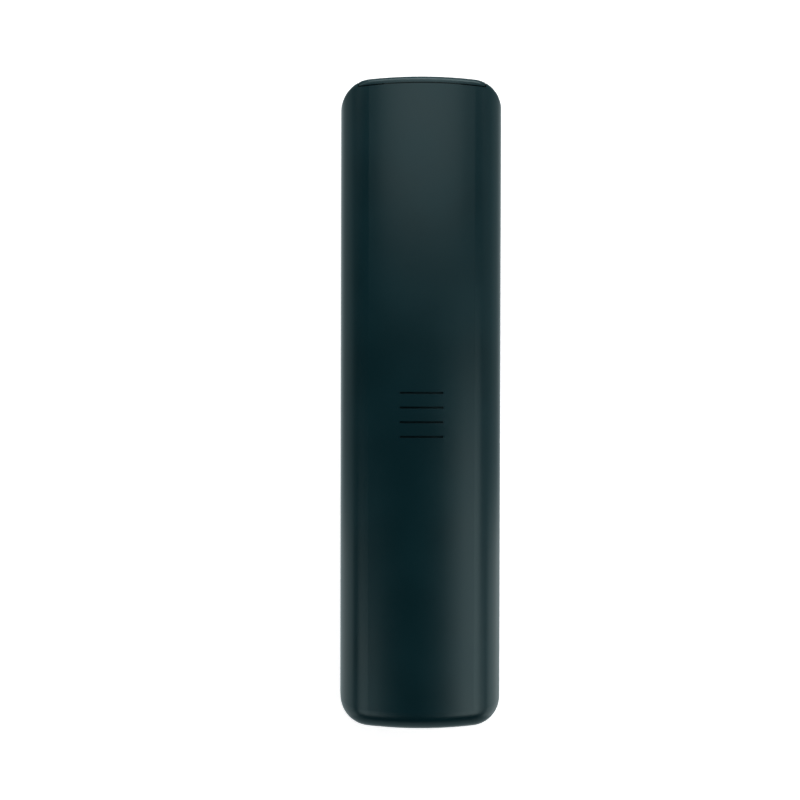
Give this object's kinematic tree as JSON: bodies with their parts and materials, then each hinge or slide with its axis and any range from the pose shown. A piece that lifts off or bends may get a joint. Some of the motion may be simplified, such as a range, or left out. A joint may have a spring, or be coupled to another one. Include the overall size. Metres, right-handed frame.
{
  "type": "voice remote control",
  "caption": "Slim dark handset remote with a voice key, tilting direction ring, sprung keys and a full-length sliding battery cover over a pair of small cells.",
  "frame": {"origin": "middle of the handset's plan, on the plane of the front rim that it lies on", "axes": "+Z out of the back, away from the keys; +Y towards the infrared end; +X to the right when the back is seen with the infrared end up"},
  "size_m": [0.0384, 0.156, 0.0188],
  "materials": {
    "case_plastic": "dark teal-black moulded plastic, fine satin grain",
    "cover_plastic": "dark teal-black moulded plastic, fine satin grain",
    "face_plastic": "black satin panel",
    "window_plastic": "smoked translucent plastic",
    "chassis_plastic": "black moulded plastic",
    "screw_steel": "zinc-plated steel",
    "mat_silicone": "grey silicone",
    "board_resin": "green solder mask over glass resin",
    "chip_resin": "black moulded resin",
    "tinned_metal": "satin tinned can",
    "diode_resin": "milky resin",
    "capacitor_can": "aluminium can in a dark sleeve",
    "emitter_resin": "clear bluish resin",
    "clear_plastic": "clear plastic",
    "seal_rubber": "black rubber",
    "cell_wrap": null,
    "contact_nickel": "nickel-plated spring steel",
    "spring_steel": "nickel-plated spring wire",
    "key_plastic": "dark grey keys with a soft feel",
    "voice_plastic": "grey key",
    "power_plastic": "red key",
    "ok_plastic": "dark grey key",
    "ring_plastic": "dark grey ring with a soft feel",
    "shortcut_plastic": "light grey keys"
  },
  "bodies": {
    "handset": {"front_case": "case_plastic", "face_panel": "face_plastic", "ir_window": "window_plastic", "rear_chassis": "chassis_plastic", "case_screws": "screw_steel", "keypad_mat": "mat_silicone", "circuit_board": "board_resin", "radio_chip": "chip_resin", "crystal": "tinned_metal", "microphone": "tinned_metal", "status_diode": "diode_resin", "small_parts": "chip_resin", "capacitor": "capacitor_can", "ir_emitter": "emitter_resin", "light_pipe": "clear_plastic", "microphone_seal": "seal_rubber", "battery_a": "cell_wrap", "battery_b": "cell_wrap", "positive_tab": "contact_nickel", "negative_plate": "contact_nickel", "bridge_strip": "contact_nickel", "negative_spring": "spring_steel", "bridge_spring": "spring_steel"},
    "cover": {"battery_cover": "cover_plastic"},
    "power_key": {"power_key": "power_plastic"},
    "settings_key": {"settings_key": "key_plastic"},
    "voice_key": {"voice_key": "voice_plastic"},
    "input_key": {"input_key": "key_plastic"},
    "back_key": {"back_key": "key_plastic"},
    "home_key": {"home_key": "key_plastic"},
    "menu_key": {"menu_key": "key_plastic"},
    "mute_key": {"mute_key": "key_plastic"},
    "list_key": {"list_key": "key_plastic"},
    "return_key": {"return_key": "key_plastic"},
    "ok_key": {"ok_key": "ok_plastic"},
    "shortcut_key_left": {"shortcut_key_left": "shortcut_plastic"},
    "shortcut_key_right": {"shortcut_key_right": "shortcut_plastic"},
    "number_key_0": {"number_key_0": "key_plastic"},
    "number_key_1": {"number_key_1": "key_plastic"},
    "number_key_2": {"number_key_2": "key_plastic"},
    "number_key_3": {"number_key_3": "key_plastic"},
    "number_key_4": {"number_key_4": "key_plastic"},
    "number_key_5": {"number_key_5": "key_plastic"},
    "number_key_6": {"number_key_6": "key_plastic"},
    "number_key_7": {"number_key_7": "key_plastic"},
    "number_key_8": {"number_key_8": "key_plastic"},
    "number_key_9": {"number_key_9": "key_plastic"},
    "volume_rocker": {"volume_rocker": "key_plastic"},
    "channel_rocker": {"channel_rocker": "key_plastic"},
    "gimbal": {"ring_pivot": "chassis_plastic"},
    "ring": {"direction_ring": "ring_plastic"}
  },
  "joints": [
    {"name": "cover_slide", "type": "slide", "parent": "handset", "child": "cover", "axis": [0, -1, 0], "range_m": [0, 0.158]},
    {"name": "power_press", "type": "slide", "parent": "handset", "child": "power_key", "axis": [0, 0, 1], "range_m": [0, 0.0006], "stiffness_N_per_m": 1200, "springref_m": -0.0004},
    {"name": "settings_press", "type": "slide", "parent": "handset", "child": "settings_key", "axis": [0, 0, 1], "range_m": [0, 0.0006], "stiffness_N_per_m": 1200, "springref_m": -0.0004},
    {"name": "voice_press", "type": "slide", "parent": "handset", "child": "voice_key", "axis": [0, 0, 1], "range_m": [0, 0.0006], "stiffness_N_per_m": 1200, "springref_m": -0.0004},
    {"name": "input_press", "type": "slide", "parent": "handset", "child": "input_key", "axis": [0, 0, 1], "range_m": [0, 0.0006], "stiffness_N_per_m": 1200, "springref_m": -0.0004},
    {"name": "back_press", "type": "slide", "parent": "handset", "child": "back_key", "axis": [0, 0, 1], "range_m": [0, 0.0006], "stiffness_N_per_m": 1200, "springref_m": -0.0004},
    {"name": "home_press", "type": "slide", "parent": "handset", "child": "home_key", "axis": [0, 0, 1], "range_m": [0, 0.0006], "stiffness_N_per_m": 1200, "springref_m": -0.0004},
    {"name": "menu_press", "type": "slide", "parent": "handset", "child": "menu_key", "axis": [0, 0, 1], "range_m": [0, 0.0006], "stiffness_N_per_m": 1200, "springref_m": -0.0004},
    {"name": "mute_press", "type": "slide", "parent": "handset", "child": "mute_key", "axis": [0, 0, 1], "range_m": [0, 0.0006], "stiffness_N_per_m": 1200, "springref_m": -0.0004},
    {"name": "list_press", "type": "slide", "parent": "handset", "child": "list_key", "axis": [0, 0, 1], "range_m": [0, 0.0006], "stiffness_N_per_m": 1200, "springref_m": -0.0004},
    {"name": "return_press", "type": "slide", "parent": "handset", "child": "return_key", "axis": [0, 0, 1], "range_m": [0, 0.0006], "stiffness_N_per_m": 1200, "springref_m": -0.0004},
    {"name": "ok_press", "type": "slide", "parent": "handset", "child": "ok_key", "axis": [0, 0, 1], "range_m": [0, 0.0006], "stiffness_N_per_m": 1200, "springref_m": -0.0004},
    {"name": "shortcut_left_press", "type": "slide", "parent": "handset", "child": "shortcut_key_left", "axis": [0, 0, 1], "range_m": [0, 0.0006], "stiffness_N_per_m": 1200, "springref_m": -0.0004},
    {"name": "shortcut_right_press", "type": "slide", "parent": "handset", "child": "shortcut_key_right", "axis": [0, 0, 1], "range_m": [0, 0.0006], "stiffness_N_per_m": 1200, "springref_m": -0.0004},
    {"name": "number_0_press", "type": "slide", "parent": "handset", "child": "number_key_0", "axis": [0, 0, 1], "range_m": [0, 0.0006], "stiffness_N_per_m": 1200, "springref_m": -0.0004},
    {"name": "number_1_press", "type": "slide", "parent": "handset", "child": "number_key_1", "axis": [0, 0, 1], "range_m": [0, 0.0006], "stiffness_N_per_m": 1200, "springref_m": -0.0004},
    {"name": "number_2_press", "type": "slide", "parent": "handset", "child": "number_key_2", "axis": [0, 0, 1], "range_m": [0, 0.0006], "stiffness_N_per_m": 1200, "springref_m": -0.0004},
    {"name": "number_3_press", "type": "slide", "parent": "handset", "child": "number_key_3", "axis": [0, 0, 1], "range_m": [0, 0.0006], "stiffness_N_per_m": 1200, "springref_m": -0.0004},
    {"name": "number_4_press", "type": "slide", "parent": "handset", "child": "number_key_4", "axis": [0, 0, 1], "range_m": [0, 0.0006], "stiffness_N_per_m": 1200, "springref_m": -0.0004},
    {"name": "number_5_press", "type": "slide", "parent": "handset", "child": "number_key_5", "axis": [0, 0, 1], "range_m": [0, 0.0006], "stiffness_N_per_m": 1200, "springref_m": -0.0004},
    {"name": "number_6_press", "type": "slide", "parent": "handset", "child": "number_key_6", "axis": [0, 0, 1], "range_m": [0, 0.0006], "stiffness_N_per_m": 1200, "springref_m": -0.0004},
    {"name": "number_7_press", "type": "slide", "parent": "handset", "child": "number_key_7", "axis": [0, 0, 1], "range_m": [0, 0.0006], "stiffness_N_per_m": 1200, "springref_m": -0.0004},
    {"name": "number_8_press", "type": "slide", "parent": "handset", "child": "number_key_8", "axis": [0, 0, 1], "range_m": [0, 0.0006], "stiffness_N_per_m": 1200, "springref_m": -0.0004},
    {"name": "number_9_press", "type": "slide", "parent": "handset", "child": "number_key_9", "axis": [0, 0, 1], "range_m": [0, 0.0006], "stiffness_N_per_m": 1200, "springref_m": -0.0004},
    {"name": "volume_tilt", "type": "hinge", "parent": "handset", "child": "volume_rocker", "pos_m": [0.01165, -0.012, 0.00295], "axis": [1, 0, 0], "range_deg": [-2.5, 2.5], "stiffness_Nm_per_rad": 0.08},
    {"name": "channel_tilt", "type": "hinge", "parent": "handset", "child": "channel_rocker", "pos_m": [-0.01165, -0.012, 0.00295], "axis": [1, 0, 0], "range_deg": [-2.5, 2.5], "stiffness_Nm_per_rad": 0.08},
    {"name": "ring_up_down", "type": "hinge", "parent": "handset", "child": "gimbal", "pos_m": [0, 0.026, 0.0046], "axis": [1, 0, 0], "range_deg": [-1.5, 1.5], "stiffness_Nm_per_rad": 0.3},
    {"name": "ring_left_right", "type": "hinge", "parent": "gimbal", "child": "ring", "pos_m": [0, 0.026, 0.0033], "axis": [0, 1, 0], "range_deg": [-1.5, 1.5], "stiffness_Nm_per_rad": 0.3}
  ]
}
